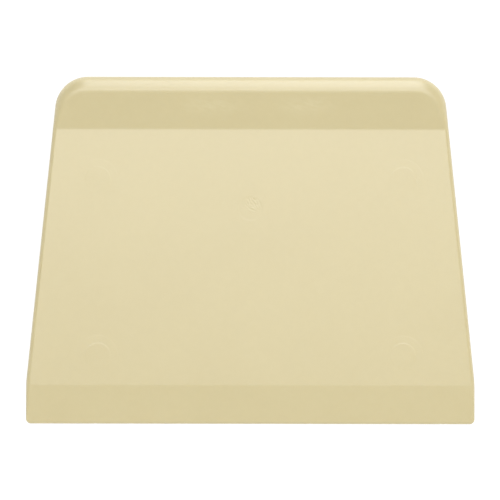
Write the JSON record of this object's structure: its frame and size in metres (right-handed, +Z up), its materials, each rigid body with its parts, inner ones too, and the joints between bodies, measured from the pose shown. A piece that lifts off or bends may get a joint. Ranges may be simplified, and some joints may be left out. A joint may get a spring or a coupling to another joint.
{
  "type": "bench scraper",
  "caption": "Rigid moulded bench scraper with a thick rounded grip along the top, a flat blade and a bevelled scraping edge.",
  "frame": {"origin": "middle of the footprint at bench level, with the scraper lying at rest on the under side of its grip and on the line where the blade turns into its bevel", "axes": "+X along the scraping edge, +Y from the scraping edge to the grip, +Z up from the bench, out of the face with the mould's marks"},
  "size_m": [0.15, 0.116, 0.009],
  "materials": {
    "moulded_plastic": "satin, ivory, the same on both faces"
  },
  "bodies": {
    "root": {"scraper_body": "moulded_plastic"}
  },
  "joints": []
}
